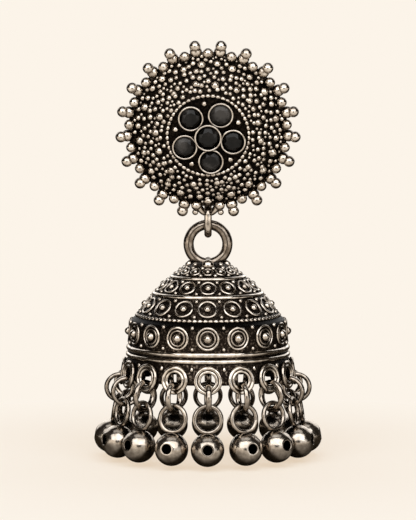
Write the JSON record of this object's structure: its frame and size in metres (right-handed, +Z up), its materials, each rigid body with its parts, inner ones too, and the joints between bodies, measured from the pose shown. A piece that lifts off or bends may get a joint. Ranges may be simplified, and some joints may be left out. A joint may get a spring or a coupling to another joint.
{
  "type": "jhumka earring",
  "caption": "Drop earring in oxidised metal: a granulated round stud with a flower of black stones, a link, and a hollow tiered bell with a fringe of hollow beads.",
  "frame": {"origin": "where the ear post leaves the flat back of the stud", "axes": "+Z up, +X to the side, +Y back through the ear lobe; the stud's face looks along -Y and leans 12 degrees forward"},
  "size_m": [0.033, 0.032, 0.0597],
  "materials": {
    "oxidised_metal": "silver-coloured alloy, blackened in the recesses and worn bright on the high points",
    "post_steel": "plain drawn wire",
    "black_stone": "polished, faceted"
  },
  "bodies": {
    "stud": {"stud_front": "oxidised_metal", "stud_back": "oxidised_metal", "ear_post": "post_steel", "centre_stone": "black_stone", "petal_stone_1": "black_stone", "petal_stone_2": "black_stone", "petal_stone_3": "black_stone", "petal_stone_4": "black_stone", "petal_stone_5": "black_stone"},
    "hanger": {"hanger_link": "oxidised_metal"},
    "bell": {"bell": "oxidised_metal", "drop_link_01": "oxidised_metal", "drop_link_02": "oxidised_metal", "drop_link_03": "oxidised_metal", "drop_link_04": "oxidised_metal", "drop_link_05": "oxidised_metal", "drop_link_06": "oxidised_metal", "drop_link_07": "oxidised_metal", "drop_link_08": "oxidised_metal", "drop_link_09": "oxidised_metal", "drop_link_10": "oxidised_metal", "drop_link_11": "oxidised_metal", "drop_link_12": "oxidised_metal", "drop_link_13": "oxidised_metal", "drop_link_14": "oxidised_metal", "drop_link_15": "oxidised_metal", "drop_link_16": "oxidised_metal", "bead_drop_01": "oxidised_metal", "bead_drop_02": "oxidised_metal", "bead_drop_03": "oxidised_metal", "bead_drop_04": "oxidised_metal", "bead_drop_05": "oxidised_metal", "bead_drop_06": "oxidised_metal", "bead_drop_07": "oxidised_metal", "bead_drop_08": "oxidised_metal", "bead_drop_09": "oxidised_metal", "bead_drop_10": "oxidised_metal", "bead_drop_11": "oxidised_metal", "bead_drop_12": "oxidised_metal", "bead_drop_13": "oxidised_metal", "bead_drop_14": "oxidised_metal", "bead_drop_15": "oxidised_metal", "bead_drop_16": "oxidised_metal"}
  },
  "joints": [
    {"name": "link_swing", "type": "hinge", "parent": "stud", "child": "hanger", "pos_m": [0, 0.00383, -0.01248], "axis": [1, 0, 0], "range_deg": [-30, 30]},
    {"name": "bell_sway", "type": "hinge", "parent": "hanger", "child": "bell", "pos_m": [0, 0.00383, -0.01553], "axis": [0, 1, 0], "range_deg": [-30, 30]}
  ]
}
